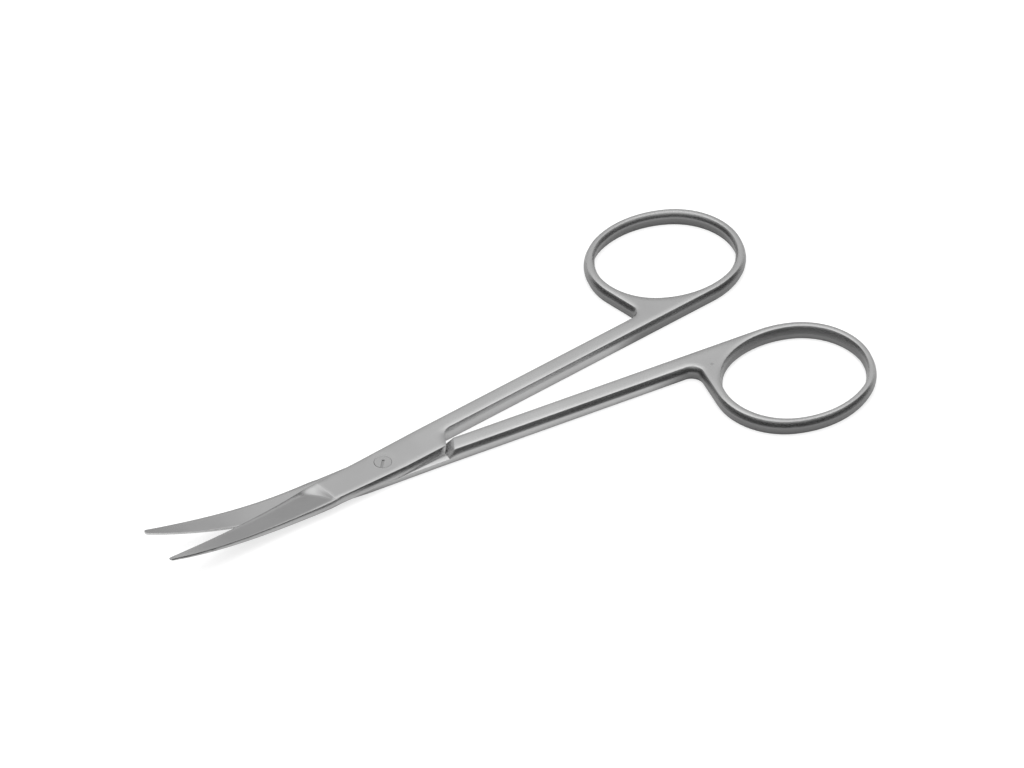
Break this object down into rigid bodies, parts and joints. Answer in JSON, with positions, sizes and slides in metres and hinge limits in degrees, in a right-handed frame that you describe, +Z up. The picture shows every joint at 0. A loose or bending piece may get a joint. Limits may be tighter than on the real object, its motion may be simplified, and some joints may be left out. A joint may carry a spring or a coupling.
{
  "type": "iris scissors",
  "caption": "Fine surgical scissors with two ring handles, lapped at a flush pivot screw, and slender blades that curve upward to narrow tips.",
  "frame": {"origin": "on the pivot axis, in the plane of the underside that the scissors rest on", "axes": "+X from the pivot to the finger rings, midway between the shanks; +Z up, the way the blades curve; the tips lie towards -X and the upper half's ring towards +Y"},
  "size_m": [0.1139, 0.0564, 0.0054],
  "materials": {
    "forged_steel": "satin ground",
    "screw_steel": "satin ground"
  },
  "bodies": {
    "lower": {"lower_half": "forged_steel", "pivot_screw": "screw_steel"},
    "upper": {"upper_half": "forged_steel"}
  },
  "joints": [
    {"name": "pivot", "type": "hinge", "parent": "lower", "child": "upper", "pos_m": [0, 0, 0.00125], "axis": [0, 0, 1], "range_deg": [-9.7, 70]}
  ]
}
